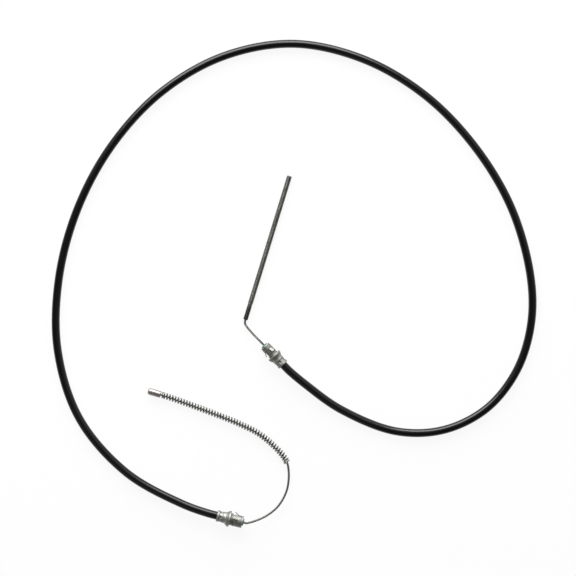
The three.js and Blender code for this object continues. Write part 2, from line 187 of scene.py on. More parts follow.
@dataclass
class CableLayout:
    """How the cable lies: its straight pieces, the points between them and the arcs of both."""

    wire_radius: float = 0.0012
    jacket_radius: float = 0.0045
    rod_radius: float = 0.0028
    spring_radius: float = 0.00375
    fitting_length: float = 0.029
    flange_back: float = 0.013
    pocket_bottom: float = 0.023
    fit_gap: float = 0.0003
    straight_run: float = 0.002
    mouth_run: float = 0.009
    rod_side_nose_run: float = 0.008
    spring_side_nose_run: float = 0.004
    wire_in_rod: float = 0.014
    wire_in_stop: float = 0.012
    rod_mouth_run: float = 0.001
    stop_mouth_run: float = 0.008
    rod_side: Place = Place(mouth=(-0.0121, -0.0892), heading=134.5, height=0.008)
    spring_side: Place = Place(mouth=(-0.0848, -0.2548), heading=-14.5, height=0.0088)
    rod: Place = Place(mouth=(-0.0538, -0.0398), heading=72.9, height=0.0028)
    stop: Place = Place(mouth=(-0.1470, -0.1222), heading=163.5, height=0.00375)
    route: CableRoute = field(init=False)
    rod_side_mouth: float = field(init=False)
    spring_side_mouth: float = field(init=False)

    def __post_init__(self) -> None:
        """Lay the route through the points and measure where its pieces start and end."""
        stretches = [
            self._climbing(self._rod_side_rope(), self.rod_radius, self.rod_side),
            self._climbing(self._rod_side_conduit(), self.jacket_radius, self.rod_side),
            self._climbing(self._lying_conduit(), self.jacket_radius, self.rod_side),
            self._climbing(self._spring_side_conduit(), self.jacket_radius, self.spring_side),
            self._climbing(self._spring_side_rope(), self.spring_radius, self.spring_side),
        ]
        reach = self.fitting_length + self.straight_run
        last_rod_side = len(stretches[0]) - 1
        first_spring_side = sum(len(stretch) for stretch in stretches[:4])
        self.route = CableRoute(np.concatenate(stretches))
        self.rod_side_mouth = self.route.arc_of_point(last_rod_side) + reach
        self.spring_side_mouth = self.route.arc_of_point(first_spring_side) - reach

    @staticmethod
    def _climbing(rows: list[Row], low: float, side: Place) -> np.ndarray:
        """Turn rows of x, y and share into points that climb by that share.

        Args:
            rows: x, y and how far each point has climbed to the fitting's axis, from 0 to 1.
            low: The height of what lies flat on the table.
            side: The fitting that the points climb to.

        Returns:
            The points.
        """
        return np.array([(x, y, low + share * (side.height - low)) for x, y, share in rows])

    def _rod_side_rope(self) -> list[Row]:
        """List the rope's points from inside the rod to the rod side fitting's nose.

        Returns:
            Rows of x, y and the share of the climb.
        """
        nose = self.fitting_length
        return [
            (*self.rod.along(self.wire_in_rod), 0),
            (*self.rod.along(0), 0),
            (*self.rod.along(-self.rod_mouth_run), 0),
            (-0.0542, -0.0437, 0.03),
            (-0.0530, -0.0463, 0.12),
            (-0.0463, -0.0544, 0.52),
            (*self.rod_side.along(nose + self.rod_side_nose_run), 1),
            (*self.rod_side.along(nose + self.straight_run), 1),
        ]

    def _rod_side_conduit(self) -> list[Row]:
        """List the conduit's points as it comes down from the rod side fitting.

        Returns:
            Rows of x, y and the share of the climb.
        """
        return [
            (*self.rod_side.along(-self.straight_run), 1),
            (*self.rod_side.along(-self.mouth_run), 1),
            (0.0120, -0.1105, 0.72),
            (0.0510, -0.1383, 0.2),
            (0.1118, -0.1624, 0.02),
        ]

    @staticmethod
    def _lying_conduit() -> list[Row]:
        """List the conduit's points where it lies flat, round the big open loop.

        Returns:
            Rows of x, y and the share of the climb.
        """
        return [
            (0.1645, -0.1609, 0),
            (0.2115, -0.1375, 0),
            (0.2443, -0.0964, 0),
            (0.2602, -0.0462, 0),
            (0.2601, 0.0066, 0),
            (0.2391, 0.0826, 0),
            (0.1986, 0.1506, 0),
            (0.1436, 0.2074, 0),
            (0.0754, 0.2471, 0),
            (-0.0017, 0.2638, 0),
            (-0.0791, 0.2496, 0),
            (-0.1473, 0.2098, 0),
            (-0.2009, 0.1516, 0),
            (-0.2384, 0.0821, 0),
            (-0.2589, 0.0056, 0),
            (-0.2602, -0.0733, 0),
        ]

    def _spring_side_conduit(self) -> list[Row]:
        """List the conduit's points as it climbs to the spring side fitting.

        Returns:
            Rows of x, y and the share of the climb.
        """
        return [
            (-0.2363, -0.1485, 0.01),
            (-0.1846, -0.2079, 0.12),
            (-0.1232, -0.2420, 0.72),
            (*self.spring_side.along(-self.mouth_run), 1),
            (*self.spring_side.along(-self.straight_run), 1),
        ]

    def _spring_side_rope(self) -> list[Row]:
        """List the rope's points from the spring side fitting's nose into the end stop.

        Returns:
            Rows of x, y and the share of the climb.
        """
        nose = self.fitting_length
        return [
            (*self.spring_side.along(nose + self.straight_run), 1),
            (*self.spring_side.along(nose + self.spring_side_nose_run), 1),
            (-0.0435, -0.2608, 0.95),
            (-0.0305, -0.2550, 0.72),
            (-0.0176, -0.2445, 0.42),
            (-0.0081, -0.2269, 0.14),
            (-0.0062, -0.2060, 0.02),
            (-0.0096, -0.1934, 0),
            (-0.0346, -0.1681, 0),
            (-0.0578, -0.1554, 0),
            (-0.0945, -0.1407, 0),
            (*self.stop.along(-self.stop_mouth_run), 0),
            (*self.stop.along(0), 0),
            (*self.stop.along(self.wire_in_stop), 0),
        ]


# Meshes


@dataclass
class Skin:
    """One closed skin of a piece, made of rings that all have the same number of points.

    Attributes:
        rings: The points, ring by ring.
        lay: The same points in the piece's straightened frame, for grain that follows it.
        shade_and_dirt_mask: How much painted shade and dirt each point gets, from 0 to 1.
        looped: Whether the last ring joins the first, as in a tube with a bore.
    """

    rings: np.ndarray
    lay: np.ndarray
    shade_and_dirt_mask: np.ndarray
    looped: bool = False

    def faces(self) -> list[tuple[int, ...]]:
        """List the faces, all facing out.

        Returns:
            The corners of each face, counted through the rings.
        """
        count, sides = self.rings.shape[:2]
        rows = np.arange(count if self.looped else count - 1)
        here = rows[:, None] * sides + np.arange(sides)
        beside = rows[:, None] * sides + (np.arange(sides) + 1) % sides
        step = sides * count
        quads = np.stack([here, beside, (beside + sides) % step, (here + sides) % step], axis=-1)
        faces = [tuple(quad) for quad in quads.reshape(-1, 4).tolist()]
        if not self.looped:
            faces.append(tuple(range(sides))[::-1])
            faces.append(tuple(range((count - 1) * sides, count * sides)))
        points = self.rings.reshape(-1, 3)
        a, b, c, d = (points[quads.reshape(-1, 4)[:, i]] for i in range(4))
        fans = np.einsum("ij,ij->i", a, np.cross(b, c)) + np.einsum("ij,ij->i", a, np.cross(c, d))
        if fans.sum() < 0:
            faces = [face[::-1] for face in faces]
        return faces


def swept(
    route: CableRoute, arcs: np.ndarray, section: np.ndarray, shade_and_dirt_mask: np.ndarray | None = None
) -> Skin:
    """Sweep a section along the route.

    Args:
        route: The rope's centreline.
        arcs: Distances along it, one for each ring.
        section: Points over and across the centreline, one set for all rings or one for each.
        shade_and_dirt_mask: How much painted shade and dirt each point of the section gets, or
            None if none.

    Returns:
        The skin, open at neither end: its ends are flat caps.
    """
    _, across, over = route.frames(arcs)
    sections = np.broadcast_to(section, (len(arcs), *section.shape[-2:]))
    rings = (
        route.points(arcs)[:, None]
        + sections[..., :1] * over[:, None]
        + sections[..., 1:] * across[:, None]
    )
    along = np.broadcast_to(arcs[:, None, None], (*rings.shape[:2], 1))
    lay = np.concatenate([sections, along], axis=2)
    shade_and_dirt_values = np.zeros(rings.shape[1]) if shade_and_dirt_mask is None else shade_and_dirt_mask
    return Skin(rings, lay, np.broadcast_to(shade_and_dirt_values, rings.shape[:2]))


def tube(route: CableRoute, arcs: np.ndarray, outer: float, inner: float, sides: int) -> Skin:
    """Sweep a pipe along the route.

    Args:
        route: The rope's centreline.
        arcs: Distances along it, one for each ring.
        outer: Outside radius.
        inner: Bore radius.
        sides: Points round it.

    Returns:
        The pipe's skin, outside and bore in one.
    """
    outside = swept(route, arcs, circle(outer, sides))
    bore = swept(route, arcs[::-1], circle(inner, sides))
    return Skin(
        np.concatenate([outside.rings, bore.rings]),
        np.concatenate([outside.lay, bore.lay]),
        np.concatenate([outside.shade_and_dirt_mask, bore.shade_and_dirt_mask]),
        looped=True,
    )


def circle(radius: float, sides: int) -> np.ndarray:
    """Return the points of a circle, the first straight over the centre."""
    angles = 2 * math.pi * np.arange(sides) / sides
    return radius * np.stack([np.cos(angles), np.sin(angles)], axis=1)


def rounded(corners: list[tuple[float, float, float]], closed: bool) -> np.ndarray:
    """Round the corners of a turned profile.

    Args:
        corners: Radius, distance along the axis and size of the round at each corner.
        closed: Whether the profile's end joins its start.

    Returns:
        Radius and distance of every point of the profile.
    """
    steps, most = 4, 0.5
    shares = np.arange(steps + 1)[:, None] / steps
    places = np.array([corner[:2] for corner in corners])
    profile = []
    for i, (*_, size) in enumerate(corners):
        open_end = not closed and i in (0, len(corners) - 1)
        if size == 0 or open_end:
            profile.append(places[i : i + 1])
            continue
        back = places[i - 1] - places[i]
        forth = places[(i + 1) % len(corners)] - places[i]
        start = places[i] + back * min(most, size / np.linalg.norm(back))
        end = places[i] + forth * min(most, size / np.linalg.norm(forth))
        bend = (1 - shares) ** 2 * start + 2 * shares * (1 - shares) * places[i] + shares**2 * end
        profile.append(bend)
    return np.concatenate(profile)


def divided(profile: np.ndarray, start: float, end: float, step: float) -> np.ndarray:
    """Add points to the steps of a profile that lie between two distances along the axis.

    Args:
        profile: Radius and distance of every point.
        start: Where the stretch starts.
        end: Where it ends.
        step: The most that two of its points may be apart.

    Returns:
        The profile with those points added.
    """
    points = [profile[0]]
    for here, there in zip(profile[:-1], profile[1:]):
        inside = start <= min(here[1], there[1]) and max(here[1], there[1]) <= end
        count = max(1, math.ceil(np.linalg.norm(there - here) / step)) if inside else 1
        points.extend(here + (there - here) * i / count for i in range(1, count + 1))
    return np.array(points)


def turned(profile: np.ndarray, sides: int, looped: bool) -> Skin:
    """Turn a profile round the piece's own axis.

    Args:
        profile: Radius and distance of every point.
        sides: Points round it.
        looped: Whether the profile's end joins its start.

    Returns:
        The skin, in the piece's own frame.
    """
    spokes = circle(1.0, sides)
    rings = np.concatenate(
        [
            profile[:, None, :1] * spokes[None],
            np.broadcast_to(profile[:, None, 1:], (len(profile), sides, 1)),
        ],
        axis=2,
    )
    return Skin(rings, rings.copy(), np.zeros(rings.shape[:2]), looped)


def smooth_step(values: np.ndarray) -> np.ndarray:
    """Return an even rise from 0 to 1 as the values go from 0 to 1."""
    held = np.clip(values, 0.0, 1.0)
    return held * held * (3 - 2 * held)


def paint_flank_shade(mesh: bpy.types.Mesh) -> None:
    """Raise the recess value of faces that look sideways or down, painting shade on flanks and
    undersides.

    Args:
        mesh: The mesh, whose recess attribute of painted shade and dirt is changed.
    """
    unshaded_above, fade, darkest_shade = 0.7, 0.6, 0.7
    count = len(mesh.vertices)
    normals, shade_and_dirt_mask = np.empty(3 * count, np.float32), np.empty(count, np.float32)
    mesh.vertex_normals.foreach_get("vector", normals)
    shade_and_dirt_values = mesh.attributes[SHADE_AND_DIRT]
    shade_and_dirt_values.data.foreach_get("value", shade_and_dirt_mask)
    # Painted shade: faces darken as they turn from facing up to facing sideways or down.
    flank_shade = darkest_shade * smooth_step((unshaded_above - normals[2::3]) / fade)
    shade_and_dirt_values.data.foreach_set("value", np.maximum(shade_and_dirt_mask, flank_shade).astype(np.float32))


def make_piece(name: str, skins: list[Skin], sharp_angle: float = 40.0) -> bpy.types.Object:
    """Make one object out of its skins.

    Args:
        name: The object's name.
        skins: Its closed skins.
        sharp_angle: Edges that turn by more than this many degrees stay crisp.

    Returns:
        The object, in the scene.
    """
    points, lay, shade_and_dirt_mask, faces = [], [], [], []
    start = 0
    for skin in skins:
        points.append(skin.rings.reshape(-1, 3))
        lay.append(skin.lay.reshape(-1, 3))
        shade_and_dirt_mask.append(skin.shade_and_dirt_mask.reshape(-1))
        faces += [tuple(start + corner for corner in face) for face in skin.faces()]
        start += len(points[-1])
    mesh = bpy.data.meshes.new(name)
    mesh.from_pydata(np.concatenate(points).tolist(), [], faces)
    follow = mesh.attributes.new(LAY, "FLOAT_VECTOR", "POINT")
    follow.data.foreach_set("vector", np.concatenate(lay).astype(np.float32).ravel())
    # The mask of painted shade and dirt that darkens the finishes' colour.
    shade_and_dirt_values = mesh.attributes.new(SHADE_AND_DIRT, "FLOAT", "POINT")
    shade_and_dirt_values.data.foreach_set("value", np.concatenate(shade_and_dirt_mask).astype(np.float32))
    # Painted shade on the flanks and undersides of every piece.
    paint_flank_shade(mesh)
    mesh.shade_smooth()
    mesh.set_sharp_from_angle(angle=math.radians(sharp_angle))
    made = bpy.data.objects.new(name, mesh)
    bpy.context.collection.objects.link(made)
    return made


# Shader groups that the finishes share

FLOAT, VECTOR, COLOR = "NodeSocketFloat", "NodeSocketVector", "NodeSocketColor"


class Bench:
    """Adds nodes to one node tree and joins them."""

    def __init__(self, tree: bpy.types.NodeTree) -> None:
        """Keep the tree to work on."""
        self.tree = tree

    def feed(self, node: bpy.types.Node, values: dict) -> None:
        """Set a node's inputs.

        Args:
            node: The node.
            values: Input names or numbers, each with a constant or with a socket to join.
        """
        for name, value in values.items():
            if isinstance(value, bpy.types.NodeSocket):
                self.tree.links.new(value, node.inputs[name])
            else:
                node.inputs[name].default_value = value

    def node(self, kind: str, values: dict | None = None, **settings: object) -> bpy.types.Node:
        """Add a node.

        Args:
            kind: The node's type.
            values: What its inputs get, as in feed.
            settings: The node's own settings.

        Returns:
            The new node.
        """
        made = self.tree.nodes.new(kind)
        for name, setting in settings.items():
            setattr(made, name, setting)
        self.feed(made, values or {})
        return made

    def reckon(self, operation: str, first: object, second: object) -> bpy.types.NodeSocket:
        """Return the result of one step of arithmetic on two constants or sockets."""
        return self.node("ShaderNodeMath", {0: first, 1: second}, operation=operation).outputs[0]

    def blend(
        self,
        share: bpy.types.NodeSocket,
        first: bpy.types.NodeSocket,
        second: bpy.types.NodeSocket,
    ) -> bpy.types.NodeSocket:
        """Mix two colours.

        Args:
            share: How much of the second colour shows.
            first: The first colour.
            second: The second colour.

        Returns:
            The socket with the mixed colour.
        """
        mix = self.node("ShaderNodeMix", data_type="RGBA")
        sockets = {socket.identifier: socket for socket in (*mix.inputs, *mix.outputs)}
        self.tree.links.new(share, sockets["Factor_Float"])
        self.tree.links.new(first, sockets["A_Color"])
        self.tree.links.new(second, sockets["B_Color"])
        return sockets["Result_Color"]


def new_group(
    name: str, inputs: dict[str, str], outputs: dict[str, str]
) -> tuple[Bench, bpy.types.NodeOutputs, bpy.types.Node]:
    """Start a shader group.

    Args:
        name: The group's name.
        inputs: Socket names and types.
        outputs: Socket names and types.

    Returns:
        A bench on the group, the sockets of its inputs and its output node.
    """
    tree = bpy.data.node_groups.new(name, "ShaderNodeTree")
    for in_out, sockets in (("INPUT", inputs), ("OUTPUT", outputs)):
        for socket, kind in sockets.items():
            tree.interface.new_socket(socket, in_out=in_out, socket_type=kind)
    bench = Bench(tree)
    return bench, bench.node("NodeGroupInput").outputs, bench.node("NodeGroupOutput")


def make_grain_group() -> bpy.types.NodeTree:
    """Build the grain effect: a mask that varies over the surface, stretched along its marks.

    Returns:
        The group, with the output Mask.
    """
    bench, given, result = new_group(
        "surface_grain",
        {"Vector": VECTOR, "Stretch": VECTOR, "Scale": FLOAT, "Softness": FLOAT},
        {"Mask": FLOAT},
    )
    detail, roughness, middle = 4.0, 0.6, 0.5
    pulled = bench.node(
        "ShaderNodeVectorMath", {0: given["Vector"], 1: given["Stretch"]}, operation="MULTIPLY"
    )
    noise = bench.node(
        "ShaderNodeTexNoise",
        {
            "Vector": pulled.outputs["Vector"],
            "Scale": given["Scale"],
            "Detail": detail,
            "Roughness": roughness,
        },
    )
    spread = bench.node(
        "ShaderNodeMapRange",
        {
            "Value": noise.outputs["Fac"],
            "From Min": bench.reckon("SUBTRACT", middle, given["Softness"]),
            "From Max": bench.reckon("ADD", middle, given["Softness"]),
        },
    )
    bench.feed(result, {"Mask": spread.outputs["Result"]})
    return bench.tree


def make_wear_and_shade_group() -> bpy.types.NodeTree:
    """Build the wear and shade effect: clean and worn colours, with painted shade and dirt by the
    mask.

    Returns:
        The group, with the outputs Color and Roughness.
    """
    levels = ("Wear", "Shade And Dirt Mask", "Shade And Dirt Amount", "Smooth", "Rough")
    bench, given, result = new_group(
        "wear_dirt_and_shade",
        dict.fromkeys(("Clean", "Worn", "Shade And Dirt"), COLOR) | dict.fromkeys(levels, FLOAT),
        {"Color": COLOR, "Roughness": FLOAT},
    )
    shade_and_dirt = bench.node(
        "ShaderNodeMath",
        {0: given["Shade And Dirt Mask"], 1: given["Shade And Dirt Amount"]},
        operation="MULTIPLY",
        use_clamp=True,
    ).outputs[0]
    aged = bench.blend(given["Wear"], given["Clean"], given["Worn"])
    # Painted shade and dirt: where the mask is high the colour darkens towards the dirt colour.
    shaded_and_soiled = bench.blend(shade_and_dirt, aged, given["Shade And Dirt"])
    gloss = bench.node(
        "ShaderNodeMapRange",
        {
            "Value": bench.reckon("MAXIMUM", given["Wear"], shade_and_dirt),
            "To Min": given["Smooth"],
            "To Max": given["Rough"],
        },
    )
    bench.feed(result, {"Color": shaded_and_soiled, "Roughness": gloss.outputs["Result"]})
    return bench.tree


@dataclass(frozen=True)
class SurfaceEffects:
    """The shader groups that every finish uses, built once."""

    grain: bpy.types.NodeTree = field(default_factory=make_grain_group)
    wear_and_shade: bpy.types.NodeTree = field(default_factory=make_wear_and_shade_group)


@dataclass(frozen=True)
class Finish:
    """A finish of one kind of piece, from its clean colour to its fine relief.

    Attributes:
        name: The material's name.
        slot: The record's material slot; not used.
        clean: Its colour where it is clean.
        worn: Its colour where it is rubbed or dull.
        shade_and_dirt: The dark colour that the mask blends towards: painted shade, with some dirt
            in hollows.
        metallic: 1 for bare or plated metal, 0 for plastic.
        smooth: Roughness where it is clean.
        rough: Roughness where it is worn or dirty.
        marks: Which way its fine marks run.
        mottle_scale: How many patches of wear there are in a metre.
        mottle_softness: How gradually the patches fade at their edges.
        mark_scale: How many fine marks there are in a metre.
        mark_softness: How gradually the marks fade.
        relief: Depth of the fine marks.
        shade_and_dirt_amount: How far the mask of painted shade and dirt darkens towards the dirt
            colour.
        gloss_level: Strength of a plastic's reflections.
    """

    name: str
    slot: str
    clean: tuple[float, float, float]
    worn: tuple[float, float, float]
    shade_and_dirt: tuple[float, float, float]
    metallic: float
    smooth: float
    rough: float
    marks: Marks = Marks.EVEN
    mottle_scale: float = 160.0
    mottle_softness: float = 0.22
    mark_scale: float = 2500.0
    mark_softness: float = 0.3
    relief: float = 0.00002
    shade_and_dirt_amount: float = 0.8
    gloss_level: float = 0.5

    def material(self, effects: SurfaceEffects) -> bpy.types.Material:
        """Build the material.

        Args:
            effects: The shared shader groups.

        Returns:
            The material, ready for a slot.
        """
        made = bpy.data.materials.new(self.name)
        made.use_nodes = True
        bench = Bench(made.node_tree)
        lay = bench.node("ShaderNodeAttribute", attribute_name=LAY).outputs["Vector"]
        # The mask of painted shade and dirt that the pieces carry.
        shade_and_dirt_mask = bench.node("ShaderNodeAttribute", attribute_name=SHADE_AND_DIRT).outputs["Fac"]
        grains = (
            (Marks.EVEN, self.mottle_scale, self.mottle_softness),
            (self.marks, self.mark_scale, self.mark_softness),
        )
        mottle, marks = (
            bench.node(
                "ShaderNodeGroup",
                {"Vector": lay, "Stretch": way.value, "Scale": scale, "Softness": softness},
                node_tree=effects.grain,
            ).outputs["Mask"]
            for way, scale, softness in grains
        )
        surface = bench.node(
            "ShaderNodeGroup",
            {
                "Clean": (*self.clean, 1.0),
                "Worn": (*self.worn, 1.0),
                "Shade And Dirt": (*self.shade_and_dirt, 1.0),
                "Wear": bench.reckon("MULTIPLY", mottle, marks),
                "Shade And Dirt Mask": shade_and_dirt_mask,
                "Shade And Dirt Amount": self.shade_and_dirt_amount,
                "Smooth": self.smooth,
                "Rough": self.rough,
            },
            node_tree=effects.wear_and_shade,
        )
        relief = {"Height": marks, "Distance": self.relief, "Strength": 1.0}
        bench.feed(
            made.node_tree.nodes["Principled BSDF"],
            {
                "Base Color": surface.outputs["Color"],
                "Roughness": surface.outputs["Roughness"],
                "Metallic": self.metallic,
                "Specular IOR Level": self.gloss_level,
                "Normal": bench.node("ShaderNodeBump", relief).outputs["Normal"],
            },
        )
        return made

    def dress(self, piece: bpy.types.Object, effects: SurfaceEffects) -> None:
        """Give a piece this finish.

        Args:
            piece: The piece to dress.
            effects: The shared shader groups.
        """
        made = bpy.data.materials.get(self.name) or self.material(effects)
        piece.data.materials.clear()
        piece.data.materials.append(made)


# In each finish below, dirt is the dark colour that painted shade and dirt blend towards.
BLACK_JACKET = Finish(
    name="black_extruded_jacket",
    slot="jacket",
    clean=(0.0008, 0.0008, 0.0009),
    worn=(0.002, 0.002, 0.0023),
    shade_and_dirt=(0.02, 0.019, 0.018),
    metallic=0.0,
    smooth=0.2,
    rough=0.3,
    marks=Marks.ALONG,
    mottle_scale=70.0,
    mark_scale=900.0,
    relief=0.000004,
    shade_and_dirt_amount=0.0,
    gloss_level=0.42,
)
WOUND_ARMOUR = Finish(
    name="wound_flat_steel",
    slot="armour",
    clean=(0.42, 0.43, 0.44),
    worn=(0.32, 0.32, 0.32),
    shade_and_dirt=(0.08, 0.07, 0.06),
    metallic=1.0,
    smooth=0.35,
    rough=0.5,
    marks=Marks.ROUND,
    mark_scale=900.0,
    relief=0.0001,
)
NATURAL_LINER = Finish(
    name="natural_plastic_liner",
    slot="liner",
    clean=(0.78, 0.76, 0.70),
    worn=(0.68, 0.66, 0.60),
    shade_and_dirt=(0.3, 0.28, 0.24),
    metallic=0.0,
    smooth=0.35,
    rough=0.5,
    marks=Marks.ALONG,
    mark_scale=900.0,
)
GALVANISED_ROPE = Finish(
    name="galvanised_strand",
    slot="rope",
    clean=(0.27, 0.27, 0.255),
    worn=(0.18, 0.18, 0.165),
    shade_and_dirt=(0.05, 0.05, 0.045),
    metallic=1.0,
    smooth=0.48,
    rough=0.62,
    mottle_scale=300.0,
    mark_scale=4000.0,
    relief=0.00001,
    shade_and_dirt_amount=0.9,
)
ZINC_FERRULE = Finish(
    name="zinc_plated_ferrule",
    slot="ferrule",
    clean=(0.42, 0.425, 0.40),
    worn=(0.27, 0.275, 0.25),
    shade_and_dirt=(0.14, 0.142, 0.12),
    metallic=1.0,
    smooth=0.5,
    rough=0.66,
    marks=Marks.ROUND,
    mottle_scale=220.0,
    mark_scale=2600.0,
    relief=0.000008,
)
SPRING_CLIP = Finish(
    name="plated_spring_strip",
    slot="clip",
    clean=(0.30, 0.305, 0.285),
    worn=(0.19, 0.19, 0.175),
    shade_and_dirt=(0.11, 0.11, 0.095),
    metallic=1.0,
    smooth=0.5,
    rough=0.65,
    marks=Marks.ALONG,
    mottle_scale=420.0,
    mark_scale=2600.0,
)
GREEN_NYLON = Finish(
    name="green_moulded_nylon",
    slot="bush",
    clean=(0.11, 0.25, 0.18),
    worn=(0.16, 0.31, 0.24),
    shade_and_dirt=(0.04, 0.09, 0.06),
    metallic=0.0,
    smooth=0.35,
    rough=0.55,
    mottle_scale=400.0,
    relief=0.00001,
)
PLATED_SPRING = Finish(
    name="plated_spring_wire",
    slot="spring",
    clean=(0.42, 0.425, 0.40),
    worn=(0.28, 0.285, 0.265),
    shade_and_dirt=(0.085, 0.086, 0.076),
    metallic=1.0,
    smooth=0.36,
    rough=0.5,
    marks=Marks.ALONG,
    mottle_scale=300.0,
    mark_scale=3500.0,
    relief=0.00001,
)
ROLLED_ROD = Finish(
    name="oiled_rolled_thread",
    slot="rod",
    clean=(0.26, 0.25, 0.23),
    worn=(0.15, 0.145, 0.135),
    shade_and_dirt=(0.02, 0.019, 0.017),
    metallic=1.0,
    smooth=0.34,
    rough=0.52,
    marks=Marks.ROUND,
    mottle_scale=180.0,
    mark_scale=3000.0,
    relief=0.00001,
    shade_and_dirt_amount=0.95,
)
BRIGHT_STOP = Finish(
    name="bright_turned_stop",
    slot="stop",
    clean=(0.42, 0.385, 0.375),
    worn=(0.28, 0.245, 0.235),
    shade_and_dirt=(0.11, 0.09, 0.082),
    metallic=1.0,
    smooth=0.36,
    rough=0.5,
    marks=Marks.ROUND,
    mottle_scale=220.0,
    mark_scale=3000.0,
    relief=0.00001,
)


# The pieces


@dataclass
class Conduit:
    """The conduit: jacket, wound armour and liner round the rope, from fitting to fitting."""

    layout: CableLayout
    jacket_inner: float = 0.0036
    armour_outer: float = 0.0033
    armour_inner: float = 0.0025
    liner_outer: float = 0.0022
    liner_inner: float = 0.0016
    step: float = 0.003
    jacket_sides: int = 28
    inner_sides: int = 16

    def arcs(self, depth: float) -> np.ndarray:
        """Space the rings of a tube evenly.

        Args:
            depth: How far the tube reaches into the fitting at each end.

        Returns:
            The distance of every ring along the rope.
        """
        start = self.layout.rod_side_mouth - depth
        end = self.layout.spring_side_mouth + depth
        return np.linspace(start, end, math.ceil((end - start) / self.step) + 1)

    def jacket_arcs(self) -> np.ndarray:
        """Return the rings' distances for the jacket, which ends behind the flanges."""
        return self.arcs(self.layout.flange_back - self.layout.fit_gap)

    def build(self) -> dict[str, bpy.types.Object]:
        """Build the three tubes.

        Returns:
            The pieces by node name.
        """
        route, outside, sides = self.layout.route, self.layout.jacket_radius, self.inner_sides
        arcs, liner_arcs = self.jacket_arcs(), self.arcs(self.layout.pocket_bottom)
        jacket = tube(route, arcs, outside, self.jacket_inner, self.jacket_sides)
        armour = tube(route, arcs, self.armour_outer, self.armour_inner, sides)
        liner = tube(route, liner_arcs, self.liner_outer, self.liner_inner, sides)
        return {
            "conduit_jacket": make_piece("black_jacket", [jacket]),
            "conduit_armour": make_piece("wound_armour", [armour]),
            "conduit_liner": make_piece("plastic_liner", [liner]),
        }

    def dress(self, pieces: dict[str, bpy.types.Object], effects: SurfaceEffects) -> None:
        """Give the three tubes their finishes.

        Args:
            pieces: The pieces by node name.
            effects: The shared shader groups.
        """
        BLACK_JACKET.dress(pieces["conduit_jacket"], effects)
        WOUND_ARMOUR.dress(pieces["conduit_armour"], effects)
        NATURAL_LINER.dress(pieces["conduit_liner"], effects)

    def declare(self, jacket: bpy.types.Object, pieces: list[bpy.types.Object]) -> None:
        """Do nothing: the conduit is not declared as a cord between its two fittings here.

        Args:
            jacket: The jacket; not used.
            pieces: The pieces on it, its layers and fittings; not used.
        """


@dataclass
class StrandedRope:
    """The wire rope: twelve outer wires twisted round a core, from the rod to the stop."""

    layout: CableLayout
    outer_wires: int = 12
    points_per_wire: int = 6
    twist_length: float = 0.021
    shown_step: float = 0.0008
    hidden_step: float = 0.012

    def arcs(self) -> np.ndarray:
        """Space the rings, closely where the rope shows.

        Returns:
            The distance of every ring along the rope.
        """
        length = self.layout.route.length
        hidden_start = self.layout.rod_side_mouth - self.layout.pocket_bottom
        hidden_end = self.layout.spring_side_mouth + self.layout.pocket_bottom
        return np.concatenate(
            [
                np.arange(0, hidden_start, self.shown_step),
                np.arange(hidden_start, hidden_end, self.hidden_step),
                np.arange(hidden_end, length, self.shown_step),
                [length],
            ]
        )

    def section(self) -> tuple[np.ndarray, np.ndarray]:
        """Draw the rope's outline, a ring of touching round wires.

        Returns:
            The angle and radius of every point, and how deep it lies between two wires.
        """
        share = math.sin(math.pi / self.outer_wires)
        ring = self.layout.wire_radius / (1 + share)
        wire = ring * share
        reach = math.pi / 2 + math.pi / self.outer_wires
        turns = np.linspace(-reach, reach, self.points_per_wire, endpoint=False)
        x = ring + wire * np.cos(turns)
        y = wire * np.sin(turns)
        radii = np.tile(np.hypot(x, y), self.outer_wires)
        starts = 2 * math.pi * np.arange(self.outer_wires) / self.outer_wires
        angles = (starts[:, None] + np.arctan2(y, x)[None]).ravel()
        outline = np.stack([angles, radii], axis=1)
        return outline, (self.layout.wire_radius - radii) / (self.layout.wire_radius - radii.min())

    def build(self) -> bpy.types.Object:
        """Build the rope, its outline twisting along the route.

        Returns:
            The piece, in the scene.
        """
        arcs = self.arcs()
        outline, depth = self.section()
        angles = outline[None, :, 0] + 2 * math.pi * arcs[:, None] / self.twist_length
        radii = outline[None, :, 1]
        sections = np.stack([radii * np.cos(angles), radii * np.sin(angles)], axis=2)
        # Painted shade and dirt in the valleys between the wires, by their depth.
        skin = swept(self.layout.route, arcs, sections, depth)
        return make_piece("stranded_rope", [skin], sharp_angle=60)

    def declare(self, rope: bpy.types.Object, pieces: list[bpy.types.Object]) -> None:
        """Do nothing: the rope is not declared as a cord from the adjusting rod to the end stop
        here.

        Args:
            rope: The rope; not used.
            pieces: The pieces on it; not used.
        """


